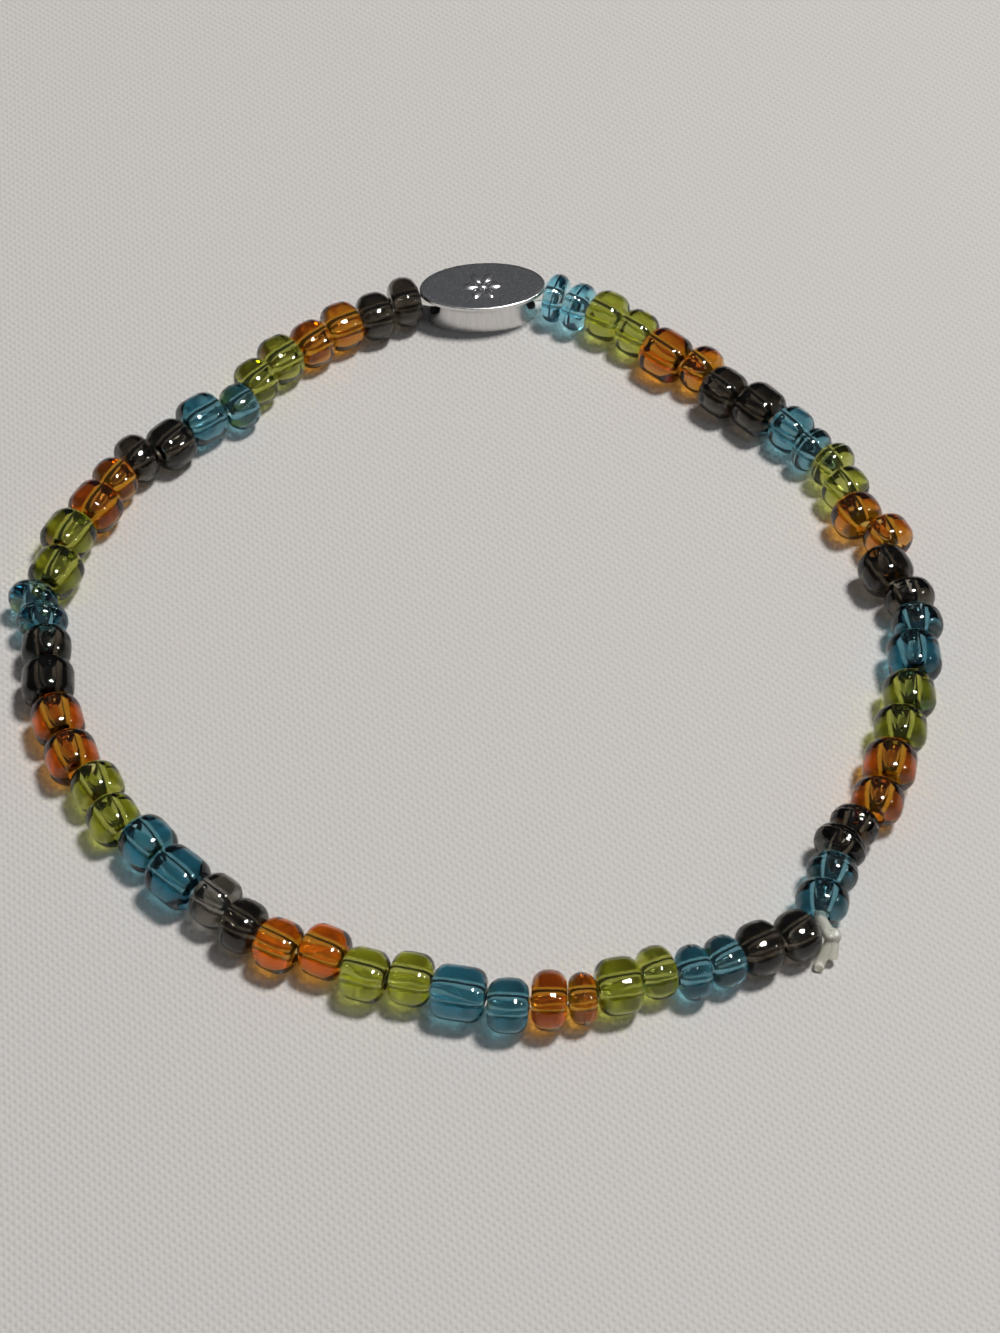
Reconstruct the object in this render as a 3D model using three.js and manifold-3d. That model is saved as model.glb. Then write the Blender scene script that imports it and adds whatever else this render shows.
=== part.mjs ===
// Stretch bracelet of small pressed-glass beads on clear elastic cord, lying open on a flat
// surface. Pairs of like beads run both ways round from a flat oval spool-shaped metal bead
// and meet at a knot. Millimetres, +Z up, origin under the middle of the loop.

import * as THREE from "three";
import { mergeVertices } from "three/addons/utils/BufferGeometryUtils.js";
import Module from "manifold-3d";

const wasm = await Module();
wasm.setup();

const up = new THREE.Vector3(0, 0, 1);

// ---- Driving dimensions ------------------------------------------------------------------

const bead = {
  gap: 0.1,            // space left between neighbours on the cord
  shoulder: 0.95,      // radius of the rounded shoulder at each end
  sides: 10,
};

const cord = {
  diameter: 0.9,
  sides: 6,
  stub: 0.15,          // how far it stands out of the left string's first bead
  endGap: 0.3,         // space between the two strings' cords inside the spool bead
};

// Flat oval spool bead. Heights are from its underside, lengths along the cord.
const spool = {
  height: 3.2,
  topLength: 9.8,
  waistLength: 7.9,
  baseLength: 8.8,
  rim: 0.35,           // thickness of the top and bottom plates at their edges
  bevel: 0.12,
  waistHeight: 1.9,
  widthRatio: 0.505,   // width over length, the same for all of its ovals
  boreDiameter: 2.0,
  boreHeight: 1.62,
  roomForBeads: 10.3,  // distance between the beads on its two sides
  turn: 4,             // degrees, seen from above
  sides: 28,
};

// Raised ornament on the spool's top: a plain rosette.
const rosette = { petals: 6, ringRadius: 0.95, petalLength: 1.1, petalWidth: 0.62, height: 0.14, middle: 0.55 };

// Knot of the elastic cord, with its two cut tails lying down to the surface.
const knot = {
  centre: [24.75, -26.75, 1.75],
  entry: [24.1, -25.8, 1.85],      // end of the right string's cord, just short of the knot
  length: 1.5,
  width: 1.3,
  turn: -75,
  tailDiameter: 0.85,
  sides: 10,
  tailSides: 8,
};

// Middle of the whole outline on the drawing of the route, which is the part's origin.
const outlineMiddle = [0, 0.44];

// Route of the cord seen from above, clockwise from the middle of the spool bead.
const routeStations = [
  [0.5, 32.6], [7.0, 31.9], [12.0, 29.2], [16.5, 25.6], [21.0, 21.6], [25.2, 17.4],
  [28.8, 11.6], [31.2, 5.0], [32.0, -2.0], [30.8, -8.6], [28.8, -14.6], [26.0, -19.6],
  [23.7, -24.0], [20.3, -27.4], [15.5, -29.6], [10.0, -31.0], [4.0, -31.8], [-2.5, -31.1],
  [-9.0, -28.9], [-15.5, -25.6], [-21.0, -21.2], [-26.0, -15.8], [-29.6, -9.6],
  [-31.5, -3.0], [-31.6, 3.4], [-29.6, 9.5], [-26.0, 14.8], [-20.5, 20.0], [-16.0, 24.8],
  [-11.5, 28.6], [-6.3, 31.3],
];

// Charts of the two strings, clockwise. A row is a pair of like beads. For each of the two:
// its length on the cord and its width across (mm), its seat, which is how far it stands
// outside the route (mm), and its lean, the turn of its axis off the route (degrees).
const rightChart = [
  { glass: "blue", length: [1.6, 1.9], width: [3.9, 3.9], seat: [0.3, 0], lean: [-5, -5] },
  { glass: "green", length: [2.8, 2.8], width: [3.9, 3.7], seat: [0.2, 0], lean: [0, 0] },
  { glass: "amber", length: [3.5, 2.4], width: [3.9, 3.8], seat: [-0.5, 0.2], lean: [0, -5] },
  { glass: "smoke", length: [3.0, 3.2], width: [3.9, 4.0], seat: [-0.6, -0.1], lean: [0, -5] },
  { glass: "blue", length: [2.7, 2.0], width: [3.6, 3.6], seat: [0.2, 0], lean: [0, 5] },
  { glass: "green", length: [2.1, 2.6], width: [3.7, 3.6], seat: [0.4, -0.1], lean: [5, 5] },
  { glass: "amber", length: [2.6, 2.7], width: [3.8, 3.7], seat: [-0.7, 0.6], lean: [0, 5] },
  { glass: "smoke", length: [3.1, 2.3], width: [3.9, 3.7], seat: [-0.7, 0.4], lean: [10, 5] },
  { glass: "blue", length: [2.4, 3.5], width: [3.8, 3.9], seat: [0.5, 0.1], lean: [0, 10] },
  { glass: "green", length: [3.1, 3.0], width: [3.8, 3.8], seat: [0.1, 0], lean: [15, 10] },
  { glass: "amber", length: [3.3, 2.9], width: [3.8, 3.7], seat: [0, 0.2], lean: [10, 15] },
  { glass: "smoke", length: [2.1, 1.9], width: [3.6, 3.9], seat: [-0.3, -0.4], lean: [5, -5] },
  { glass: "blue", length: [2.2, 2.5], width: [3.6, 3.7], seat: [-0.1, 0.3], lean: [10, 25] },
];
const leftChart = [
  { glass: "smoke", length: [2.5, 2.7], width: [3.6, 3.8], seat: [0.7, 0], lean: [-10, -5] },
  { glass: "blue", length: [2.3, 2.2], width: [3.7, 3.8], seat: [-0.1, 0], lean: [5, -5] },
  { glass: "green", length: [2.4, 3.0], width: [3.7, 4.0], seat: [-0.7, -0.1], lean: [5, 0] },
  { glass: "amber", length: [1.9, 2.4], width: [3.6, 4.1], seat: [0.3, 0.3], lean: [-5, -5] },
  { glass: "blue", length: [2.8, 3.7], width: [3.8, 3.8], seat: [0.6, 0], lean: [0, 0] },
  { glass: "green", length: [2.9, 3.1], width: [3.7, 3.7], seat: [-0.4, 0.3], lean: [5, 5] },
  { glass: "amber", length: [3.1, 2.9], width: [3.7, 3.7], seat: [-0.3, 0.6], lean: [0, 0] },
  { glass: "smoke", length: [2.6, 2.7], width: [3.8, 3.8], seat: [0.5, 0], lean: [0, 0] },
  { glass: "blue", length: [3.7, 3.2], width: [4.0, 3.8], seat: [0.3, -0.2], lean: [0, -5] },
  { glass: "green", length: [3.0, 2.9], width: [3.7, 3.7], seat: [0.3, -0.3], lean: [-10, -10] },
  { glass: "amber", length: [3.3, 3.4], width: [3.8, 3.7], seat: [0.1, -0.1], lean: [-10, -5] },
  { glass: "smoke", length: [3.4, 2.9], width: [3.8, 3.6], seat: [-0.2, -0.4], lean: [-10, -5] },
  { glass: "blue", length: [1.9, 1.8], width: [3.8, 3.7], seat: [-0.1, 0.8], lean: [0, -5] },
  { glass: "green", length: [3.4, 3.4], width: [3.8, 3.8], seat: [-0.3, 0.2], lean: [-10, -5] },
  { glass: "amber", length: [3.1, 2.5], width: [3.9, 3.6], seat: [-0.2, 0.3], lean: [0, 0] },
  { glass: "smoke", length: [2.4, 3.1], width: [3.8, 3.7], seat: [0.5, -0.2], lean: [0, 5] },
  { glass: "blue", length: [3.3, 2.4], width: [3.8, 3.6], seat: [0.2, -0.9], lean: [-5, -10] },
  { glass: "green", length: [2.7, 2.9], width: [3.7, 3.8], seat: [-0.1, 0.3], lean: [-5, -5] },
  { glass: "amber", length: [2.8, 2.8], width: [3.7, 3.8], seat: [0, 0.2], lean: [0, -5] },
  { glass: "smoke", length: [2.6, 2.3], width: [3.8, 4.0], seat: [-0.1, 0.4], lean: [-5, 0] },
];

// ---- Helpers -------------------------------------------------------------------------------

// A closed three.js geometry as a solid that can be joined and cut.
function solidOf(geometry) {
  geometry.deleteAttribute("normal");
  geometry.deleteAttribute("uv");
  const merged = mergeVertices(geometry, 1e-5);
  const vertProperties = new Float32Array(merged.attributes.position.array);
  const triVerts = new Uint32Array(merged.index.array);
  return new wasm.Manifold(new wasm.Mesh({ numProp: 3, vertProperties, triVerts }));
}

function meshOf(name, solid, material) {
  const result = solid.getMesh();
  const geometry = new THREE.BufferGeometry();
  geometry.setAttribute("position", new THREE.BufferAttribute(result.vertProperties, 3));
  geometry.setIndex(new THREE.BufferAttribute(result.triVerts, 1));
  geometry.computeVertexNormals();
  const mesh = new THREE.Mesh(geometry, material);
  mesh.name = name;
  return mesh;
}

// Turns a shape made round the Y axis to lie level along a direction, its Z side up.
function layAlong(geometry, direction, centre) {
  const along = direction.clone().normalize();
  const side = new THREE.Vector3().crossVectors(along, up).normalize();
  const top = new THREE.Vector3().crossVectors(side, along);
  geometry.applyMatrix4(new THREE.Matrix4().makeBasis(side, along, top).setPosition(centre));
  return geometry;
}

function levelDirection(degrees) {
  const angle = THREE.MathUtils.degToRad(degrees);
  return new THREE.Vector3(Math.cos(angle), Math.sin(angle), 0);
}

// A straight length of cord between two points.
function cordSolid(from, to, diameter) {
  const span = new THREE.Vector3().subVectors(to, from);
  const centre = new THREE.Vector3().addVectors(from, to).multiplyScalar(0.5);
  const geometry = new THREE.CylinderGeometry(diameter / 2, diameter / 2, span.length(), cord.sides);
  return solidOf(layAlong(geometry, span, centre));
}

// A bent length of cord through a few points.
function bentCordSolid(points, diameter, steps) {
  const path = new THREE.CatmullRomCurve3(points);
  const section = new THREE.Shape();
  section.absarc(0, 0, diameter / 2, 0, 2 * Math.PI);
  const settings = { extrudePath: path, steps, curveSegments: knot.tailSides / 2 };
  return solidOf(new THREE.ExtrudeGeometry(section, settings));
}

// ---- Placing the beads ---------------------------------------------------------------------

function fromDrawing(x, y, z) {
  return new THREE.Vector3(x - outlineMiddle[0], y - outlineMiddle[1], z);
}

const route = new THREE.CatmullRomCurve3(
  routeStations.map(([x, y]) => fromDrawing(x, y, 0)), true, "centripetal");
route.arcLengthDivisions = 3000;
const routeLength = route.getLength();

// One bead whose middle is at a distance along the route.
function placeBead(distance, row, index) {
  const u = distance / routeLength;
  const ahead = route.getTangentAt(u);
  const outward = new THREE.Vector3(-ahead.y, ahead.x, 0);
  const width = row.width[index];
  const centre = route.getPointAt(u).addScaledVector(outward, row.seat[index]);
  centre.z = width / 2;
  const lean = THREE.MathUtils.degToRad(row.lean[index]);
  const direction = ahead.clone().applyAxisAngle(up, lean);
  const length = row.length[index];
  const back = centre.clone().addScaledVector(direction, -length / 2);
  const front = centre.clone().addScaledVector(direction, length / 2);
  return { centre, direction, length, width, back, front };
}

// The right string is threaded clockwise from the spool bead to the knot.
function threadRight(chart) {
  const placed = [];
  let distance = spool.roomForBeads / 2;
  for (const row of chart) {
    for (const index of [0, 1]) {
      placed.push(placeBead(distance + row.length[index] / 2, row, index));
      distance += row.length[index] + bead.gap;
    }
  }
  return placed;
}

// The left string is threaded the other way, so its beads are listed from the spool back.
function threadLeft(chart) {
  const placed = [];
  let distance = routeLength - spool.roomForBeads / 2;
  for (const row of [...chart].reverse()) {
    for (const index of [1, 0]) {
      placed.push(placeBead(distance - row.length[index] / 2, row, index));
      distance -= row.length[index] + bead.gap;
    }
  }
  return placed.reverse();
}

const rightBeads = threadRight(rightChart);
const leftBeads = threadLeft(leftChart);

// ---- Strings of beads ----------------------------------------------------------------------

// A short drum with rounded shoulders, a corner down so that it touches the surface.
function beadSolid({ centre, direction, length, width }) {
  const half = length / 2;
  const radius = width / 2;
  const shoulder = Math.min(bead.shoulder, half - 0.05);
  const points = [new THREE.Vector2(0, -half)];
  for (const angle of [0, 45, 90]) {
    const turn = THREE.MathUtils.degToRad(angle);
    const r = radius - shoulder + shoulder * Math.sin(turn);
    points.push(new THREE.Vector2(r, -half + shoulder - shoulder * Math.cos(turn)));
  }
  for (const point of points.slice().reverse()) {
    points.push(new THREE.Vector2(point.x, -point.y));
  }
  return solidOf(layAlong(new THREE.LatheGeometry(points, bead.sides), direction, centre));
}

// Beads joined by the cord that shows between them. The cord is solid with the beads.
function stringSolid(beads, leads) {
  let whole = beadSolid(beads[0]);
  for (let i = 1; i < beads.length; i += 1) {
    const neck = cordSolid(beads[i - 1].centre, beads[i].centre, cord.diameter);
    whole = whole.add(beadSolid(beads[i])).add(neck);
  }
  for (const [from, to] of leads) {
    whole = whole.add(cordSolid(from, to, cord.diameter));
  }
  return whole;
}

const spoolMiddle = route.getPointAt(0);
const spoolAxis = levelDirection(spool.turn);

// The lead of cord from the bead beside the spool to near the middle of its bore.
function leadsIntoSpool(nearBead, sign) {
  const mouth = spoolMiddle.clone().addScaledVector(spoolAxis, sign * spool.waistLength / 2);
  mouth.z = spool.boreHeight + 0.1;
  const end = spoolMiddle.clone().addScaledVector(spoolAxis, sign * cord.endGap / 2);
  end.z = spool.boreHeight;
  const bend = new THREE.Vector3().subVectors(end, mouth).normalize().multiplyScalar(0.2);
  return [[nearBead.centre, mouth.clone().add(bend)], [mouth.clone().sub(bend), end]];
}

const firstRight = rightBeads[0];
const lastRight = rightBeads.at(-1);
const firstLeft = leftBeads[0];
const lastLeft = leftBeads.at(-1);

// At the knot the right string's cord turns out of its last bead towards the knot, and the
// left string's only shows as a stub.
const bendAtKnot = lastRight.front.clone().addScaledVector(lastRight.direction, -0.2);
const stubAtKnot = firstLeft.back.clone().addScaledVector(firstLeft.direction, -cord.stub);

const rightString = stringSolid(rightBeads, [
  ...leadsIntoSpool(firstRight, 1),
  [bendAtKnot, fromDrawing(...knot.entry)],
]);
const leftString = stringSolid(leftBeads, [
  ...leadsIntoSpool(lastLeft, -1),
  [firstLeft.centre, stubAtKnot],
]);

// ---- Spool bead ----------------------------------------------------------------------------

function spoolSolid() {
  const top = spool.topLength / 2;
  const waist = spool.waistLength / 2;
  const base = spool.baseLength / 2;
  const { height, rim, bevel, waistHeight } = spool;
  const profile = [
    [0, 0], [base - bevel, 0], [base, bevel], [base, rim],
    [(base + waist) / 2 - 0.05, rim + 0.4], [waist, waistHeight - 0.25],
    [waist, waistHeight + 0.25], [waist + 0.2, height - rim - 0.35], [top - 0.4, height - rim - 0.1],
    [top, height - rim], [top, height - bevel], [top - bevel, height], [0, height],
  ];
  const points = profile.map(([r, z]) => new THREE.Vector2(r, z));
  const body = new THREE.LatheGeometry(points, spool.sides);
  body.rotateX(Math.PI / 2);
  body.scale(1, spool.widthRatio, 1);
  const boreRadius = spool.boreDiameter / 2;
  const bore = new THREE.CylinderGeometry(boreRadius, boreRadius, 2 * spool.topLength, 12);
  bore.rotateZ(Math.PI / 2);
  bore.translate(0, 0, spool.boreHeight);
  return solidOf(body).subtract(solidOf(bore)).add(rosetteSolid());
}

// Low petals and a boss, each a flattened ball half sunk in the top plate.
function rosetteSolid() {
  const pebble = (length, width, x, turn) => {
    const shape = new THREE.SphereGeometry(1, 10, 6);
    shape.scale(length / 2, width / 2, rosette.height);
    shape.translate(x, 0, 0);
    shape.rotateZ(turn);
    shape.translate(0, 0, spool.height);
    return solidOf(shape);
  };
  let whole = pebble(rosette.middle, rosette.middle, 0, 0);
  for (let i = 0; i < rosette.petals; i += 1) {
    const turn = (2 * Math.PI * i) / rosette.petals;
    whole = whole.add(pebble(rosette.petalLength, rosette.petalWidth, rosette.ringRadius, turn));
  }
  return whole;
}

// ---- Knot ----------------------------------------------------------------------------------

function knotSolid() {
  const [x, y, z] = knot.centre;
  const at = (dx, dy, height) => fromDrawing(x + dx, y + dy, height);
  const lump = new THREE.SphereGeometry(1, knot.sides, 8);
  lump.scale(knot.length / 2, knot.width / 2, knot.width / 2);
  lump.rotateZ(THREE.MathUtils.degToRad(knot.turn));
  lump.translate(...at(0, 0, z));
  const radius = knot.tailDiameter / 2;
  const tailRight = [at(0, 0, z), at(0.1, -0.75, 1.1), at(0, -1.35, radius + 0.15)];
  const tailLeft = [at(0, 0, z), at(-0.4, -0.85, 0.95), at(-0.75, -1.4, radius + 0.1), at(-0.85, -1.8, radius + 0.05)];
  return solidOf(lump)
    .add(bentCordSolid(tailRight, knot.tailDiameter, 4))
    .add(bentCordSolid(tailLeft, knot.tailDiameter, 5));
}

// ---- Assembly ------------------------------------------------------------------------------

const finish = {
  rightGlass: new THREE.MeshStandardMaterial({ color: 0x3c7887, roughness: 0.05, metalness: 0 }),
  leftGlass: new THREE.MeshStandardMaterial({ color: 0x82962f, roughness: 0.05, metalness: 0 }),
  metal: new THREE.MeshStandardMaterial({ color: 0x9aa0a8, roughness: 0.3, metalness: 1 }),
  elastic: new THREE.MeshStandardMaterial({ color: 0xd8d6cc, roughness: 0.35, metalness: 0 }),
};

const spoolMesh = meshOf("spool_bead", spoolSolid(), finish.metal);
spoolMesh.position.copy(spoolMiddle);
spoolMesh.rotation.z = THREE.MathUtils.degToRad(spool.turn);

const group = new THREE.Group();
group.add(meshOf("bead_string_right", rightString, finish.rightGlass));
group.add(meshOf("bead_string_left", leftString, finish.leftGlass));
group.add(spoolMesh);
group.add(meshOf("cord_knot", knotSolid(), finish.elastic));

export default group;
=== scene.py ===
import bisect
import math
import random

import bmesh
import bpy
from mathutils import Matrix, Vector, noise


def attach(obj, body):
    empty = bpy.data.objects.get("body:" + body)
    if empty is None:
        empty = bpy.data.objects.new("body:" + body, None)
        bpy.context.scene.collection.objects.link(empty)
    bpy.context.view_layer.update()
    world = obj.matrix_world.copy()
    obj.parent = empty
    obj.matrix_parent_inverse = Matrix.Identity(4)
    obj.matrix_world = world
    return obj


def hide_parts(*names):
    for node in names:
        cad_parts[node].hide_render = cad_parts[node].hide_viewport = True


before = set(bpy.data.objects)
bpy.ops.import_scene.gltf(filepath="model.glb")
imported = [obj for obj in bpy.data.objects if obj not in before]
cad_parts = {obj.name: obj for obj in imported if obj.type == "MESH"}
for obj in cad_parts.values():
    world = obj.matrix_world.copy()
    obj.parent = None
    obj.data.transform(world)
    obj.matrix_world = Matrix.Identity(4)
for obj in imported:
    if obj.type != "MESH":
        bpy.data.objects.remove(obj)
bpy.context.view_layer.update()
mm = 0.001
up = Vector((0, 0, 1))
print("frame loaded:", ", ".join(sorted(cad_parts)))


cameraSettings = {
    "lens": 81.0,          # mm
    "sensor": 36.0,        # mm across
    "elevation": 53.5,     # degrees above the floor
    "distance": 220.0,     # mm from the aim point
    "aim": (1.9, -3.14),   # mm, the point on the floor that it looks at
    "clip": (0.01, 50.0),  # metres
}


def makeCamera(s):
    data = bpy.data.cameras.new("camera")
    data.lens = s["lens"]
    data.sensor_width = s["sensor"]
    data.clip_start, data.clip_end = s["clip"]
    camera = bpy.data.objects.new("camera", data)
    bpy.context.scene.collection.objects.link(camera)
    tilt = math.radians(s["elevation"])
    aim = Vector((*s["aim"], 0)) * mm
    camera.location = aim + Vector((0, -math.cos(tilt), math.sin(tilt))) * s["distance"] * mm
    camera.rotation_euler = (math.pi / 2 - tilt, 0, 0)
    bpy.context.scene.camera = camera


makeCamera(cameraSettings)


# The same route and charts as the part's source, in millimetres.

outlineMiddle = (0.0, 0.44)
routeStations = [
    (0.5, 32.6), (7.0, 31.9), (12.0, 29.2), (16.5, 25.6), (21.0, 21.6), (25.2, 17.4),
    (28.8, 11.6), (31.2, 5.0), (32.0, -2.0), (30.8, -8.6), (28.8, -14.6), (26.0, -19.6),
    (23.7, -24.0), (20.3, -27.4), (15.5, -29.6), (10.0, -31.0), (4.0, -31.8), (-2.5, -31.1),
    (-9.0, -28.9), (-15.5, -25.6), (-21.0, -21.2), (-26.0, -15.8), (-29.6, -9.6),
    (-31.5, -3.0), (-31.6, 3.4), (-29.6, 9.5), (-26.0, 14.8), (-20.5, 20.0), (-16.0, 24.8),
    (-11.5, 28.6), (-6.3, 31.3),
]

# glass, then for the two beads of the pair: length, width, seat outside the route, lean
rightChart = [
    ("blue", (1.6, 1.9), (3.9, 3.9), (0.3, 0), (-5, -5)),
    ("green", (2.8, 2.8), (3.9, 3.7), (0.2, 0), (0, 0)),
    ("amber", (3.5, 2.4), (3.9, 3.8), (-0.5, 0.2), (0, -5)),
    ("smoke", (3.0, 3.2), (3.9, 4.0), (-0.6, -0.1), (0, -5)),
    ("blue", (2.7, 2.0), (3.6, 3.6), (0.2, 0), (0, 5)),
    ("green", (2.1, 2.6), (3.7, 3.6), (0.4, -0.1), (5, 5)),
    ("amber", (2.6, 2.7), (3.8, 3.7), (-0.7, 0.6), (0, 5)),
    ("smoke", (3.1, 2.3), (3.9, 3.7), (-0.7, 0.4), (10, 5)),
    ("blue", (2.4, 3.5), (3.8, 3.9), (0.5, 0.1), (0, 10)),
    ("green", (3.1, 3.0), (3.8, 3.8), (0.1, 0), (15, 10)),
    ("amber", (3.3, 2.9), (3.8, 3.7), (0, 0.2), (10, 15)),
    ("smoke", (2.1, 1.9), (3.6, 3.9), (-0.3, -0.4), (5, -5)),
    ("blue", (2.2, 2.5), (3.6, 3.7), (-0.1, 0.3), (10, 25)),
]
leftChart = [
    ("smoke", (2.5, 2.7), (3.6, 3.8), (0.7, 0), (-10, -5)),
    ("blue", (2.3, 2.2), (3.7, 3.8), (-0.1, 0), (5, -5)),
    ("green", (2.4, 3.0), (3.7, 4.0), (-0.7, -0.1), (5, 0)),
    ("amber", (1.9, 2.4), (3.6, 4.1), (0.3, 0.3), (-5, -5)),
    ("blue", (2.8, 3.7), (3.8, 3.8), (0.6, 0), (0, 0)),
    ("green", (2.9, 3.1), (3.7, 3.7), (-0.4, 0.3), (5, 5)),
    ("amber", (3.1, 2.9), (3.7, 3.7), (-0.3, 0.6), (0, 0)),
    ("smoke", (2.6, 2.7), (3.8, 3.8), (0.5, 0), (0, 0)),
    ("blue", (3.7, 3.2), (4.0, 3.8), (0.3, -0.2), (0, -5)),
    ("green", (3.0, 2.9), (3.7, 3.7), (0.3, -0.3), (-10, -10)),
    ("amber", (3.3, 3.4), (3.8, 3.7), (0.1, -0.1), (-10, -5)),
    ("smoke", (3.4, 2.9), (3.8, 3.6), (-0.2, -0.4), (-10, -5)),
    ("blue", (1.9, 1.8), (3.8, 3.7), (-0.1, 0.8), (0, -5)),
    ("green", (3.4, 3.4), (3.8, 3.8), (-0.3, 0.2), (-10, -5)),
    ("amber", (3.1, 2.5), (3.9, 3.6), (-0.2, 0.3), (0, 0)),
    ("smoke", (2.4, 3.1), (3.8, 3.7), (0.5, -0.2), (0, 5)),
    ("blue", (3.3, 2.4), (3.8, 3.6), (0.2, -0.9), (-5, -10)),
    ("green", (2.7, 2.9), (3.7, 3.8), (-0.1, 0.3), (-5, -5)),
    ("amber", (2.8, 2.8), (3.7, 3.8), (0, 0.2), (0, -5)),
    ("smoke", (2.6, 2.3), (3.8, 4.0), (-0.1, 0.4), (-5, 0)),
]
threading = {
    "gap": 0.1,            # between neighbours on the cord
    "roomForSpool": 10.3,  # between the beads on the spool bead's two sides
    "snug": 0.12,          # how much nearer those two are pushed to it
    "divisions": 3000,     # steps in which the route is measured
}
oddBeads = {0: "paleBlue", 1: "paleBlue", 41: "paleSmoke"}  # of thinner glass than the rest


def fromDrawing(x, y, z=0.0):
    return Vector((x - outlineMiddle[0], y - outlineMiddle[1], z))


def routePoint(t):  # closed centripetal Catmull-Rom curve, t from 0 to 1
    count = len(routeStations)
    place = (t % 1.0) * count
    first = int(place)
    w = place - first
    p = [fromDrawing(*routeStations[(first + k) % count]) for k in (-1, 0, 1, 2)]
    d = [max(math.sqrt((p[k + 1] - p[k]).length), 1e-4) for k in range(3)]
    before = (p[1] - p[0]) / d[0] - (p[2] - p[0]) / (d[0] + d[1]) + (p[2] - p[1]) / d[1]
    after = (p[2] - p[1]) / d[1] - (p[3] - p[1]) / (d[1] + d[2]) + (p[3] - p[2]) / d[2]
    before *= d[1]
    after *= d[1]
    square = -3 * p[1] + 3 * p[2] - 2 * before - after
    cube = 2 * p[1] - 2 * p[2] + before + after
    return p[1] + before * w + square * w * w + cube * w ** 3


def measureRoute(divisions):
    points = [routePoint(k / divisions) for k in range(divisions + 1)]
    distances = [0.0]
    for a, b in zip(points, points[1:]):
        distances.append(distances[-1] + (b - a).length)
    return distances


routeDistances = measureRoute(threading["divisions"])
routeLength = routeDistances[-1]


def routeAt(distance):
    high = bisect.bisect_right(routeDistances, distance)
    low = high - 1
    share = (distance - routeDistances[low]) / (routeDistances[high] - routeDistances[low])
    t = (low + share) / (len(routeDistances) - 1)
    ahead = (routePoint(t + 1e-4) - routePoint(t - 1e-4)).normalized()
    return routePoint(t), ahead


def placeBead(distance, row, k):
    glass, lengths, widths, seats, leans = row
    point, ahead = routeAt(distance)
    centre = point + Vector((-ahead.y, ahead.x, 0)) * seats[k]
    centre.z = widths[k] / 2
    direction = Matrix.Rotation(math.radians(leans[k]), 3, "Z") @ ahead
    return {"glass": glass, "centre": centre, "direction": direction,
            "length": lengths[k], "width": widths[k]}


def threadBeads():
    placed = []
    distance = threading["roomForSpool"] / 2
    for row in rightChart:
        for k in (0, 1):
            placed.append(placeBead(distance + row[1][k] / 2, row, k))
            distance += row[1][k] + threading["gap"]
    rightCount = len(placed)
    left = []
    distance = routeLength - threading["roomForSpool"] / 2
    for row in reversed(leftChart):
        for k in (1, 0):
            left.append(placeBead(distance - row[1][k] / 2, row, k))
            distance -= row[1][k] + threading["gap"]
    placed += left[::-1]
    for place, sign in ((placed[0], -1), (placed[-1], 1)):  # these two touch the spool bead
        place["centre"] += place["direction"] * sign * threading["snug"]
    for index, glassName in oddBeads.items():
        placed[index]["glass"] = glassName
    return placed, rightCount


beadPlaces, rightCount = threadBeads()
print("beads threaded:", len(beadPlaces), "on a route of", round(routeLength, 1), "mm")


def newMaterial(name):
    material = bpy.data.materials.new(name)
    material.use_nodes = True
    material.node_tree.nodes.clear()
    return material, material.node_tree


def addNode(tree, kind, **inputs):
    node = tree.nodes.new("ShaderNode" + kind)
    for name, value in inputs.items():
        node.inputs[name.replace("_", " ")].default_value = value
    return node


def join(tree, source, output, target, socket):
    tree.links.new(source.outputs[output], target.inputs[socket])


glassSettings = {
    "ior": 1.52,
    "rippleScale": 700.0,
    "rippleStrength": 0.2,
    "rippleDepth": 0.00003,  # metres
    "densest": 1.02,         # how far the density lies above the strongest loss
}
glassRecipes = {
    # what is left of red, green and blue after one millimetre of the glass
    "blue": {"left": (0.52, 0.70, 0.745), "skin": (0.95, 0.99, 1.0, 1)},
    "green": {"left": (0.76, 0.77, 0.45), "skin": (0.98, 1.0, 0.9, 1)},
    "amber": {"left": (0.84, 0.67, 0.31), "skin": (1.0, 0.88, 0.7, 1)},
    "smoke": {"left": (0.43, 0.405, 0.365), "skin": (0.93, 0.92, 0.90, 1)},
    "paleBlue": {"left": (0.70, 0.89, 0.94), "skin": (0.96, 0.99, 1.0, 1)},
    "paleSmoke": {"left": (0.62, 0.61, 0.59), "skin": (0.97, 0.97, 0.96, 1)},
}


def makeGlass(name, recipe, s):
    material, tree = newMaterial(name + "Glass")
    where = addNode(tree, "TexCoord")
    ripple = addNode(tree, "TexNoise", Scale=s["rippleScale"], Detail=2.0, Roughness=0.5)
    join(tree, where, "Object", ripple, "Vector")
    bump = addNode(tree, "Bump", Strength=s["rippleStrength"], Distance=s["rippleDepth"])
    join(tree, ripple, "Fac", bump, "Height")
    surface = addNode(tree, "BsdfPrincipled", Roughness=0.0, IOR=s["ior"],
                      Transmission_Weight=1.0, Base_Color=recipe["skin"])
    join(tree, bump, "Normal", surface, "Normal")
    losses = [-math.log(left) / mm for left in recipe["left"]]
    density = max(losses) * s["densest"]
    colour = [1 - loss / density for loss in losses]
    depth = addNode(tree, "VolumeAbsorption", Density=density, Color=(*colour, 1))
    out = addNode(tree, "OutputMaterial")
    join(tree, surface, "BSDF", out, "Surface")
    join(tree, depth, "Volume", out, "Volume")
    return material


glass = {name: makeGlass(name, recipe, glassSettings) for name, recipe in glassRecipes.items()}

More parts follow.
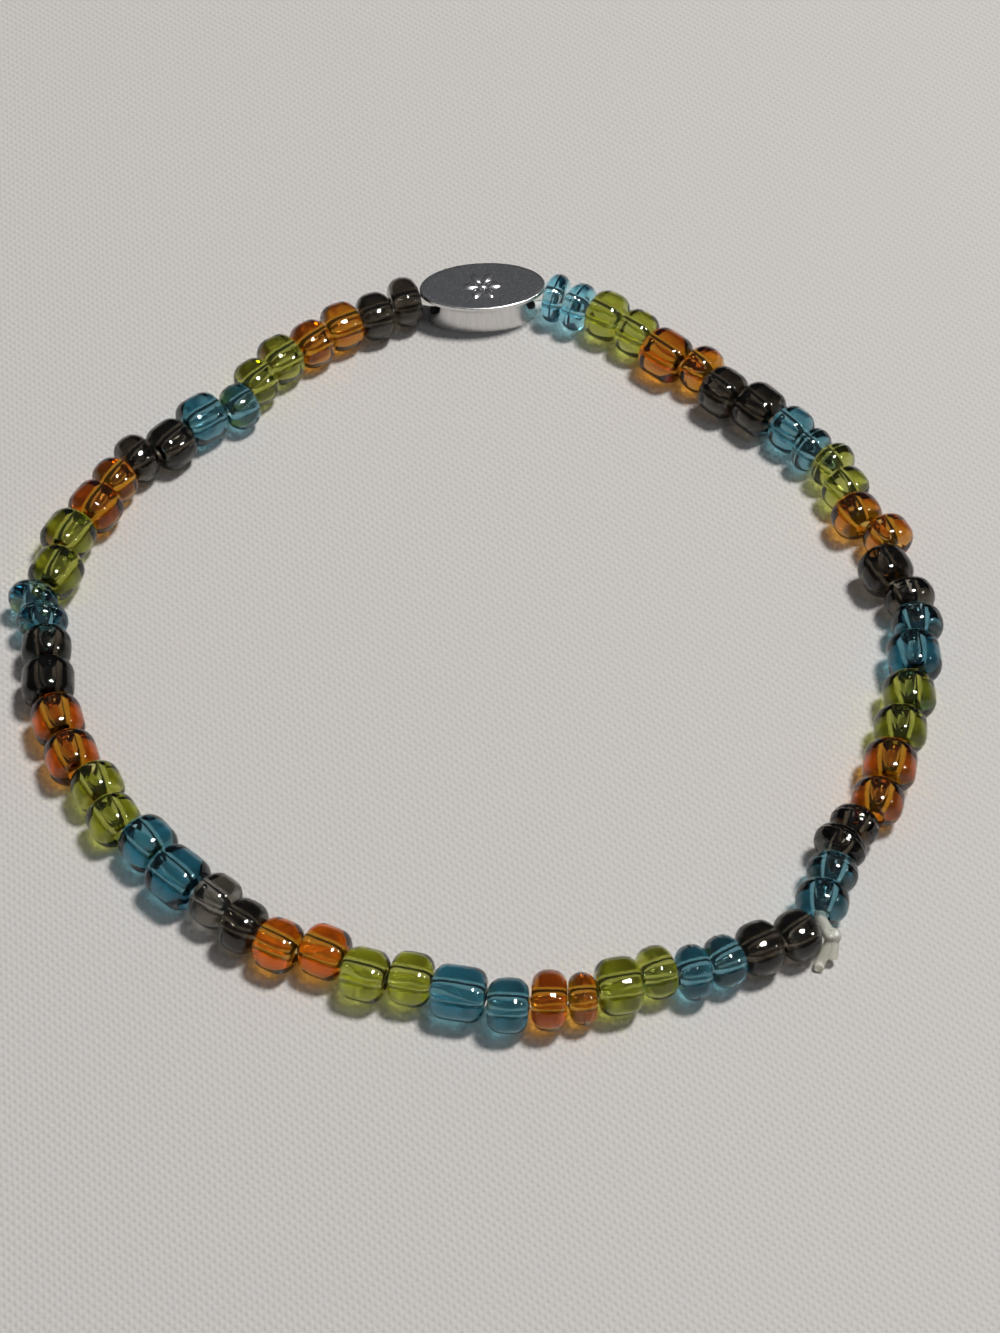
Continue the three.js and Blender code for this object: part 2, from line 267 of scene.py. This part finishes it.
elasticSurface = {"ior": 1.45, "cloudScale": 1400.0, "cloudStrength": 0.25, "cloudDepth": 0.00003}
elasticSettings = {
    # the cord is clear inside the beads, and milky where it is stretched and knotted
    "clearElastic": {"colour": (0.95, 0.95, 0.93, 1), "roughness": 0.06, "clear": 1.0},
    "milkyElastic": {"colour": (0.84, 0.82, 0.71, 1), "roughness": 0.3, "clear": 0.35},
}


def makeElastic(name, s, skin):
    material, tree = newMaterial(name)
    where = addNode(tree, "TexCoord")
    cloud = addNode(tree, "TexNoise", Scale=skin["cloudScale"], Detail=3.0)
    join(tree, where, "Object", cloud, "Vector")
    bump = addNode(tree, "Bump", Strength=skin["cloudStrength"], Distance=skin["cloudDepth"])
    join(tree, cloud, "Fac", bump, "Height")
    surface = addNode(tree, "BsdfPrincipled", Roughness=s["roughness"], IOR=skin["ior"],
                      Transmission_Weight=s["clear"], Base_Color=s["colour"])
    join(tree, bump, "Normal", surface, "Normal")
    out = addNode(tree, "OutputMaterial")
    join(tree, surface, "BSDF", out, "Surface")
    return material


elastic = {name: makeElastic(name, s, elasticSurface) for name, s in elasticSettings.items()}


def addPiece(name, mesh, materials, matrix=None):
    piece = bpy.data.objects.new(name, mesh)
    bpy.context.scene.collection.objects.link(piece)
    for material in materials:
        mesh.materials.append(material)
    if matrix is not None:
        piece.matrix_world = matrix
    mesh.shade_smooth()
    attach(piece, "root")
    return piece


def spin(profile, segments, shape=None):
    # turns a closed loop of (x, r) points round the X axis
    verts, faces = [], []
    for k in range(segments):
        angle = 2 * math.pi * k / segments
        for x, r in profile:
            point = Vector((x, r * math.cos(angle), r * math.sin(angle)))
            verts.append(shape(point, r) if shape else point)
    count = len(profile)
    for k in range(segments):
        for i in range(count):
            a = k * count + i
            b = k * count + (i + 1) % count
            c = ((k + 1) % segments) * count + (i + 1) % count
            d = ((k + 1) % segments) * count + i
            faces.append((a, b, c, d))
    mesh = bpy.data.meshes.new("spun")
    mesh.from_pydata(verts, [], faces)
    bm = bmesh.new()
    bm.from_mesh(mesh)
    bmesh.ops.recalc_face_normals(bm, faces=bm.faces)
    bm.to_mesh(mesh)
    bm.free()
    return mesh


def tube(points, radius, sides=14, roundEnds=True):
    # a round tube along a list of points, with frames carried along without twist
    verts, faces, rings = [], [], []
    side = None
    for i, point in enumerate(points):
        ahead = (points[min(i + 1, len(points) - 1)] - points[max(i - 1, 0)]).normalized()
        side = (up if side is None else side)
        side = (side - ahead * side.dot(ahead)).normalized()
        other = ahead.cross(side)
        rings.append((point, ahead, side.copy(), other, radius))
    if roundEnds:
        first, last = rings[0], rings[-1]
        caps = [(0.35, 0.94), (0.7, 0.71), (0.93, 0.38)]
        start = [(first[0] - first[1] * radius * a, *first[1:4], radius * b) for a, b in caps]
        end = [(last[0] + last[1] * radius * a, *last[1:4], radius * b) for a, b in caps]
        rings = start[::-1] + rings + end
    for point, ahead, u, v, r in rings:
        for k in range(sides):
            angle = 2 * math.pi * k / sides
            verts.append(point + (u * math.cos(angle) + v * math.sin(angle)) * r)
    for i in range(len(rings) - 1):
        for k in range(sides):
            a = i * sides + k
            b = i * sides + (k + 1) % sides
            faces.append((a, b, b + sides, a + sides))
    faces.append(tuple(reversed(range(sides))))
    faces.append(tuple(range(len(verts) - sides, len(verts))))
    mesh = bpy.data.meshes.new("tube")
    mesh.from_pydata(verts, [], faces)
    return mesh


def smoothPath(points, perSpan):
    # Catmull-Rom through open points
    out = []
    for i in range(len(points) - 1):
        p0 = points[max(i - 1, 0)]
        p1, p2 = points[i], points[i + 1]
        p3 = points[min(i + 2, len(points) - 1)]
        for k in range(perSpan):
            w = k / perSpan
            out.append(0.5 * (2 * p1 + (p2 - p0) * w + (2 * p0 - 5 * p1 + 4 * p2 - p3) * w * w
                              + (3 * p1 - p0 - 3 * p2 + p3) * w ** 3))
    out.append(points[-1].copy())
    return out


beadShape = {
    "hole": 0.62,        # radius, mm
    "lip": 0.14,         # rounding where the hole meets the end face
    "shoulder": 1.0,     # rounding between the end face and the drum
    "barrel": 0.02,      # how much the drum swells towards its middle
    "wobble": 0.022,     # unevenness of the pressed surface
    "squash": 0.012,     # how far from round, as a share
    "lumps": (0.55, 1.7),  # how closely the large and the small lumps follow each other
    "smallLumps": 0.4,   # height of the small lumps against the large ones
    "leastFlat": 0.05,   # the drum left between the shoulders of the shortest bead
    "holeRing": 0.45,    # ring in the hole, as a share of the half length
    "segments": 56,
    "shoulderSteps": 9,
    "lipSteps": 4,
    "barrelSteps": 4,
    "seed": 100,
}


def beadProfile(length, width, s):
    half = length / 2
    radius = width / 2
    shoulder = min(s["shoulder"], half - s["leastFlat"])
    lip = s["lip"]
    outer = []
    for k in range(s["shoulderSteps"] + 1):
        turn = math.pi / 2 * k / s["shoulderSteps"]
        outer.append((half - shoulder + shoulder * math.cos(turn),
                      radius - shoulder + shoulder * math.sin(turn)))
    flat = half - shoulder
    for k in range(1, s["barrelSteps"]):
        x = flat * (1 - k / s["barrelSteps"])
        outer.append((x, radius + s["barrel"] * (1 - (x / flat) ** 2)))
    inner = []
    for k in range(s["lipSteps"] + 1):
        turn = math.pi / 2 * k / s["lipSteps"]
        inner.append((half - lip + lip * math.sin(turn), s["hole"] + lip - lip * math.cos(turn)))
    right = [(half * s["holeRing"], s["hole"])] + inner + outer
    return [(0, s["hole"])] + right + [(0, radius + s["barrel"])] + [(-x, r) for x, r in right[::-1]]


def addBead(bm, index, place):
    s = beadShape
    dice = random.Random(s["seed"] + index)
    shift = Vector([dice.uniform(-50, 50) for axis in range(3)])
    squash = dice.uniform(-s["squash"], s["squash"])
    large, small = s["lumps"]

    def uneven(point, r):
        swell = noise.noise(point * large + shift)
        swell += s["smallLumps"] * noise.noise(point * small + shift)
        share = max(0.0, (r - s["hole"]) / (place["width"] / 2 - s["hole"]))
        grow = 1 + share * s["wobble"] * swell / (place["width"] / 2)
        return Vector((point.x, point.y * grow * (1 + squash), point.z * grow * (1 - squash))) * mm

    mesh = spin(beadProfile(place["length"], place["width"], s), s["segments"], uneven)
    along = place["direction"]
    turn = Matrix((along, up.cross(along), up)).transposed().to_4x4()
    roll = Matrix.Rotation(dice.uniform(0, 2 * math.pi), 4, "X")
    mesh.transform(Matrix.Translation(place["centre"] * mm) @ turn @ roll)
    bm.from_mesh(mesh)
    bpy.data.meshes.remove(mesh)


def makeBeads(side, first, last):
    for glassName in glass:
        indices = [k for k in range(first, last) if beadPlaces[k]["glass"] == glassName]
        if not indices:
            continue
        bm = bmesh.new()
        for index in indices:
            addBead(bm, index, beadPlaces[index])
        mesh = bpy.data.meshes.new(glassName + "Beads")
        bm.to_mesh(mesh)
        bm.free()
        beads = addPiece(glassName + "Beads" + side, mesh, [glass[glassName]])
        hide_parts("bead_string_" + side.lower())


makeBeads("Right", 0, rightCount)
makeBeads("Left", rightCount, len(beadPlaces))
print("beads made:", len(beadPlaces))


cordSettings = {
    "radius": 0.38,   # mm
    "sides": 14,
    "perSpan": 5,     # steps between two points of its path
}


# lengths in millimetres, heights from the underside
spoolSettings = {
    "middle": (0.5, 32.6),
    "turn": 4.0,           # degrees
    "height": 3.2,
    "topLength": 10.0,
    "waistLength": 7.9,
    "baseLength": 8.8,
    "widthRatio": 0.505,   # width over length of every oval
    "topEdge": 0.34,       # thickness of the top plate at its edge
    "baseEdge": 0.1,
    "waistHeight": 2.05,
    "lowerCurve": 1.4,     # how suddenly the wall flares to the base and to the top
    "upperCurve": 2.6,
    "wallSteps": 12,       # rings in each half of the wall
    "bevel": 0.06,
    "bevelCut": 0.3,       # where the lower bevel bends, as a share of it
    "underRings": (0, 0.4, 0.8),  # rings of the underside, as shares of its length
    "topBevel": 0.14,
    "topBevelSteps": 4,
    "boreRadius": 1.0,
    "boreHeight": 1.62,
    "boreSides": 64,
    "boreShadeMargin": 1.01,    # faces within this share of its radius get the rough bore metal, painted near black as shade in the bore
    "segments": 180,
    "plateSteps": 6,       # rings from the edge of the top plate to the rosette
    "rosetteSteps": 36,    # rings in the rosette
    "rosetteMargin": 0.1,
    "sharpEdge": 35.0,     # degrees
    "petals": 6,
    "petalRing": 0.95,
    "petalLength": 1.1,
    "petalWidth": 0.62,
    "petalHeight": 0.14,
}


knotSettings = {
    "centre": (24.5, -26.85, 1.75),
    "wrapRadius": 0.31,    # of the cord in the knot
    "wrapSize": 0.125,     # of the knot's loops
    "tailRadius": 0.37,
    "neckRadius": 0.4,     # the cord where it swells into the knot
    "neckReach": 1.2,      # how far the swollen part goes into the last bead's hole
    "sides": 16,
    "perSpan": 8,
    "wrapSteps": 60,
    "floorGap": 0.02,      # left under the tail that lies down
    "voxel": 0.05,
    "softening": 4,        # rounds of smoothing
}


def makeCord(s):
    last = beadPlaces[rightCount - 1]
    order = beadPlaces[rightCount:] + [None] + beadPlaces[:rightCount]
    points = []
    previous = None
    for place in order:
        if place is None:
            middle = fromDrawing(*spoolSettings["middle"], spoolSettings["boreHeight"])
            axis = Matrix.Rotation(math.radians(spoolSettings["turn"]), 3, "Z") @ Vector((1, 0, 0))
            reach = spoolSettings["waistLength"] / 2
            points += [middle - axis * reach, middle, middle + axis * reach]
            previous = None
            continue
        back = place["centre"] - place["direction"] * place["length"] / 2
        front = place["centre"] + place["direction"] * place["length"] / 2
        points.append(back if previous is None else (back + previous) / 2)
        points.append(place["centre"].copy())
        previous = front
        if place is beadPlaces[-1] or place is last:
            points.append(front)
    knot = fromDrawing(*knotSettings["centre"])
    points = [knot] + points + [knot]
    path = [p * mm for p in smoothPath(points, s["perSpan"])]
    mesh = tube(path, s["radius"] * mm, s["sides"])
    cord = addPiece("elasticCord", mesh, [elastic["clearElastic"]])
    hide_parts("bead_string_right", "bead_string_left")


makeCord(cordSettings)


def fuse(mesh, voxel, rounds):
    # joins overlapping tubes into one skin and softens where they meet
    lump = bpy.data.objects.new("lump", mesh)
    bpy.context.scene.collection.objects.link(lump)
    remesh = lump.modifiers.new("skin", "REMESH")
    remesh.mode = "VOXEL"
    remesh.voxel_size = voxel * mm
    smooth = lump.modifiers.new("soften", "SMOOTH")
    smooth.iterations = rounds
    skin = bpy.data.meshes.new_from_object(lump.evaluated_get(bpy.context.evaluated_depsgraph_get()))
    bpy.data.objects.remove(lump)
    return skin


def makeKnot(s):
    centre = fromDrawing(*s["centre"])
    wraps = []
    for k in range(s["wrapSteps"] + 1):
        t = 2 * math.pi * k / s["wrapSteps"]
        wrap = Vector((math.sin(t) + 2 * math.sin(2 * t), -1.5 * math.sin(3 * t),
                       math.cos(t) - 2 * math.cos(2 * t)))
        wraps.append(centre + wrap * s["wrapSize"])

    def at(dx, dy, z):
        return Vector((centre.x + dx, centre.y + dy, z))

    lowest = s["tailRadius"] + s["floorGap"]
    tailRight = [at(0.1, 0, centre.z), at(0.14, -0.5, 1.3), at(0.1, -0.85, 0.9), at(0.05, -1.15, 0.65)]
    tailLeft = [at(-0.1, 0, centre.z), at(-0.4, -0.75, 0.95), at(-0.78, -1.3, lowest),
                at(-0.9, -1.75, lowest)]
    last = beadPlaces[rightCount - 1]
    mouth = last["centre"] + last["direction"] * last["length"] / 2
    neck = [mouth - last["direction"] * s["neckReach"], mouth, centre]
    bm = bmesh.new()
    tubes = [(wraps, s["wrapRadius"])]
    for path, name in ((tailRight, "tailRadius"), (tailLeft, "tailRadius"), (neck, "neckRadius")):
        tubes.append((smoothPath(path, s["perSpan"]), s[name]))
    for points, radius in tubes:
        mesh = tube([p * mm for p in points], radius * mm, s["sides"], roundEnds=False)
        bm.from_mesh(mesh)
        bpy.data.meshes.remove(mesh)
    mesh = bpy.data.meshes.new("knot")
    bm.to_mesh(mesh)
    bm.free()
    skin = fuse(mesh, s["voxel"], s["softening"])
    knot = addPiece("cordKnot", skin, [elastic["milkyElastic"]])
    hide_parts("cord_knot")


makeKnot(knotSettings)
print("cord and knot made")


metalSettings = {
    "grain": (5200.0, 5200.0, 240.0),  # fine across, long upwards
    "grainStrength": 0.5,
    "grainDepth": 0.00002,             # metres
    "roughness": (0.14, 0.34),
    "wear": (0.3, 0.7),                # where the metal turns from dark to light
    "dark": (0.62, 0.615, 0.62, 1),
    "light": (0.82, 0.80, 0.78, 1),
    # painted shade: the bore's near-black colour stands in for the shade inside the bore; only its dull
    # roughness is real
    "boreShadeColour": (0.09, 0.085, 0.08, 1),
    "boreRoughness": 0.6,
}


def makeSpoolMetal(s):
    # fine upright grain on the wall, small scratches on the top plate
    material, tree = newMaterial("satinSpoolMetal")
    where = addNode(tree, "TexCoord")
    stretch = addNode(tree, "Mapping", Scale=s["grain"])
    join(tree, where, "Object", stretch, "Vector")
    scratch = addNode(tree, "TexNoise", Scale=1.0, Detail=5.0, Roughness=0.7)
    join(tree, stretch, "Vector", scratch, "Vector")
    bump = addNode(tree, "Bump", Strength=s["grainStrength"], Distance=s["grainDepth"])
    join(tree, scratch, "Fac", bump, "Height")
    rough = addNode(tree, "MapRange")
    rough.inputs["To Min"].default_value, rough.inputs["To Max"].default_value = s["roughness"]
    join(tree, scratch, "Fac", rough, "Value")
    worn = addNode(tree, "ValToRGB")
    dark, light = worn.color_ramp.elements
    dark.position, light.position = s["wear"]
    dark.color, light.color = s["dark"], s["light"]
    join(tree, scratch, "Fac", worn, "Fac")
    surface = addNode(tree, "BsdfPrincipled", Metallic=1.0)
    join(tree, worn, "Color", surface, "Base Color")
    join(tree, rough, "Result", surface, "Roughness")
    join(tree, bump, "Normal", surface, "Normal")
    out = addNode(tree, "OutputMaterial")
    join(tree, surface, "BSDF", out, "Surface")
    return material


# rough metal for the bore, painted near black as the shade inside it
def makeShadedBoreMetal(s):
    material, tree = newMaterial("dullShadedBoreMetal")
    surface = addNode(tree, "BsdfPrincipled", Metallic=1.0, Base_Color=s["boreShadeColour"],
                      Roughness=s["boreRoughness"])
    out = addNode(tree, "OutputMaterial")
    join(tree, surface, "BSDF", out, "Surface")
    return material


def ornamentHeight(x, y, s):
    # a plain rosette: one round button and a ring of petals, blended where they meet
    total = max(0.0, 1 - (x * x + y * y) / (s["petalWidth"] / 2) ** 2) ** 0.5
    for k in range(s["petals"]):
        turn = 2 * math.pi * k / s["petals"]
        along = x * math.cos(turn) + y * math.sin(turn) - s["petalRing"]
        across = -x * math.sin(turn) + y * math.cos(turn)
        far = (along / (s["petalLength"] / 2)) ** 2 + (across / (s["petalWidth"] / 2)) ** 2
        total = max(total, max(0.0, 1 - far) ** 0.5)
    return total * s["petalHeight"]


def makeSpool(s):
    height, bevel, topBevel = s["height"], s["bevel"], s["topBevel"]
    top, waist, base = s["topLength"] / 2, s["waistLength"] / 2, s["baseLength"] / 2
    profile = [(base * share, 0) for share in s["underRings"]] + [(base - bevel, 0)]
    profile += [(base - bevel * s["bevelCut"], bevel * s["bevelCut"]), (base, bevel)]
    low, middle, high = s["baseEdge"], s["waistHeight"], height - s["topEdge"]
    for k in range(s["wallSteps"] + 1):
        t = k / s["wallSteps"]
        profile.append((waist + (base - waist) * (1 - t) ** s["lowerCurve"], low + (middle - low) * t))
    for k in range(1, s["wallSteps"] + 1):
        t = k / s["wallSteps"]
        profile.append((waist + (top - waist) * t ** s["upperCurve"], middle + (high - middle) * t))
    profile.append((top, height - topBevel))
    for k in range(1, s["topBevelSteps"] + 1):
        turn = math.pi / 2 / s["topBevelSteps"] * k
        profile.append((top - topBevel * (1 - math.cos(turn)),
                        height - topBevel * (1 - math.sin(turn))))
    rosetteReach = s["petalRing"] + s["petalLength"] / 2 + s["rosetteMargin"]
    for k in range(1, s["plateSteps"]):
        profile.append((top - topBevel + (rosetteReach - top + topBevel) * k / s["plateSteps"], height))
    for k in range(s["rosetteSteps"]):
        profile.append((rosetteReach * (1 - k / s["rosetteSteps"]), height))
    profile.append((0, height))
    bm = bmesh.new()
    rings = []
    for r, z in profile:
        ring = []
        for k in range(s["segments"] if r > 0 else 1):
            angle = 2 * math.pi * k / s["segments"]
            x, y = r * math.cos(angle), r * math.sin(angle)
            squeeze = s["widthRatio"]
            lift = 0
            if z == height and r <= rosetteReach:
                squeeze = 1
                lift = ornamentHeight(x, y, s)
            elif z == height:  # the rings grow round towards the rosette
                plate = top - topBevel
                share = (plate - r) / (plate - rosetteReach)
                squeeze = (plate * squeeze * (1 - share) + rosetteReach * share) / r
            y *= squeeze
            ring.append(bm.verts.new((x * mm, y * mm, (z + lift) * mm)))
        rings.append(ring)
    for lower, upper in zip(rings, rings[1:]):
        for k in range(s["segments"]):
            n = (k + 1) % s["segments"]
            if len(lower) == 1:
                bm.faces.new((lower[0], upper[n], upper[k]))
            elif len(upper) == 1:
                bm.faces.new((lower[k], lower[n], upper[0]))
            else:
                bm.faces.new((lower[k], lower[n], upper[n], upper[k]))
    bmesh.ops.recalc_face_normals(bm, faces=bm.faces)
    mesh = bpy.data.meshes.new("spool")
    bm.to_mesh(mesh)
    bm.free()
    mesh = cutBore(mesh, s)
    middlePoint = fromDrawing(*s["middle"]) * mm
    matrix = Matrix.Translation(middlePoint) @ Matrix.Rotation(math.radians(s["turn"]), 4, "Z")
    metals = [makeSpoolMetal(metalSettings), makeShadedBoreMetal(metalSettings)]
    spool = addPiece("spoolBead", mesh, metals, matrix)
    # faces in the bore get the painted bore shade
    for polygon in mesh.polygons:
        offAxis = Vector((polygon.center.y, polygon.center.z - s["boreHeight"] * mm)).length
        polygon.material_index = 1 if offAxis < s["boreRadius"] * mm * s["boreShadeMargin"] else 0
    mesh.set_sharp_from_angle(angle=math.radians(s["sharpEdge"]))
    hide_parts("spool_bead")


def cutBore(mesh, s):
    body = bpy.data.objects.new("body", mesh)
    bpy.context.scene.collection.objects.link(body)
    reach = s["topLength"] * mm
    points = [Vector((x, 0, s["boreHeight"] * mm)) for x in (-reach, -reach / 2, 0, reach / 2, reach)]
    drill = tube(points, s["boreRadius"] * mm, s["boreSides"], roundEnds=False)
    tool = bpy.data.objects.new("drill", drill)
    bpy.context.scene.collection.objects.link(tool)
    cut = body.modifiers.new("bore", "BOOLEAN")
    cut.operation = "DIFFERENCE"
    cut.solver = "EXACT"
    cut.object = tool
    done = bpy.data.meshes.new_from_object(body.evaluated_get(bpy.context.evaluated_depsgraph_get()))
    bpy.data.objects.remove(body)
    bpy.data.objects.remove(tool)
    return done


makeSpool(spoolSettings)
print("spool bead made")


stageSettings = {
    "floorColour": (0.76, 0.72, 0.68, 1),
    "floorReach": 1.5,     # metres
    "floorRoughness": 0.9,
    "threadTurns": (38.0, -52.0),  # degrees
    "threads": 0.0005,     # metres between the threads of the cloth
    "weave": 0.00009,      # how deep the weave is
    "weaveStrength": 0.6,
    "wander": 1.5,         # how unevenly the threads run, and how coarsely
    "wanderScale": 0.6,
    "lamps": {
        # direction, distance and width in metres, power in watts, and what it is for
        "key": ((0.36, 0.18, 1.0), 0.9, 0.17, 5.6, "light"),
        "glint": ((0.335, -0.245, 1.0), 0.88, 0.22, 16.0, "gloss"),
        "side": ((0.95, -0.25, 0.5), 0.8, 0.08, 1.2, "gloss"),
    },
    "zenith": (0.085, 0.09, 0.101),
    "horizon": (0.035, 0.035, 0.037),
    "skyBand": (0.1, 0.9),  # where the sky changes from one to the other
}


def makeCloth(s):
    material, tree = newMaterial("paleCloth")
    where = addNode(tree, "TexCoord")
    threads = []
    for turn in s["threadTurns"]:
        spun = addNode(tree, "Mapping", Rotation=(0, 0, math.radians(turn)))
        join(tree, where, "Object", spun, "Vector")
        # at a scale of 1 the wave's bands are 2 pi / 20 apart
        wave = addNode(tree, "TexWave", Scale=2 * math.pi / (20 * s["threads"]),
                       Distortion=s["wander"], Detail=2.0, Detail_Scale=s["wanderScale"])
        join(tree, spun, "Vector", wave, "Vector")
        threads.append(wave)
    woven = addNode(tree, "Math")
    woven.operation = "MULTIPLY"
    for k in (0, 1):
        join(tree, threads[k], "Fac", woven, k)
    bump = addNode(tree, "Bump", Strength=s["weaveStrength"], Distance=s["weave"])
    join(tree, woven, "Value", bump, "Height")
    surface = addNode(tree, "BsdfPrincipled", Base_Color=s["floorColour"],
                      Roughness=s["floorRoughness"])
    join(tree, bump, "Normal", surface, "Normal")
    out = addNode(tree, "OutputMaterial")
    join(tree, surface, "BSDF", out, "Surface")
    return material


def makeFloor(s):
    mesh = bpy.data.meshes.new("floor")
    reach = s["floorReach"]
    corners = [(-reach, -reach, 0), (reach, -reach, 0), (reach, reach, 0), (-reach, reach, 0)]
    mesh.from_pydata(corners, [], [(0, 1, 2, 3)])
    mesh.materials.append(makeCloth(s))
    floor = bpy.data.objects.new("floor", mesh)
    bpy.context.scene.collection.objects.link(floor)


def makeLamps(s):
    for name, (direction, distance, width, power, use) in s["lamps"].items():
        direction = Vector(direction).normalized()
        light = bpy.data.lights.new(name + "Light", "AREA")
        light.shape = "DISK"
        light.size = width
        light.energy = power
        holder = bpy.data.objects.new(name + "Light", light)
        bpy.context.scene.collection.objects.link(holder)
        holder.location = direction * distance
        holder.rotation_euler = direction.to_track_quat("Z", "Y").to_euler()
        holder.visible_camera = False
        if use == "gloss":
            holder.visible_diffuse = False
            holder.visible_transmission = False
        else:
            holder.visible_glossy = False


def makeSky(s):
    # dim all round, a little brighter overhead
    world = bpy.data.worlds.new("studio")
    bpy.context.scene.world = world
    world.use_nodes = True
    tree = world.node_tree
    where = addNode(tree, "TexCoord")
    parts = addNode(tree, "SeparateXYZ")
    join(tree, where, "Generated", parts, "Vector")
    ramp = addNode(tree, "ValToRGB")
    low, high = ramp.color_ramp.elements
    low.position, high.position = s["skyBand"]
    low.color = (*s["horizon"], 1)
    high.color = (*s["zenith"], 1)
    join(tree, parts, "Z", ramp, "Fac")
    join(tree, ramp, "Color", tree.nodes["Background"], "Color")


makeFloor(stageSettings)
makeLamps(stageSettings)
makeSky(stageSettings)
bpy.context.scene.view_settings.view_transform = "Standard"
bpy.context.scene.cycles.caustics_refractive = True
bpy.context.scene.cycles.caustics_reflective = False
print("stage made")
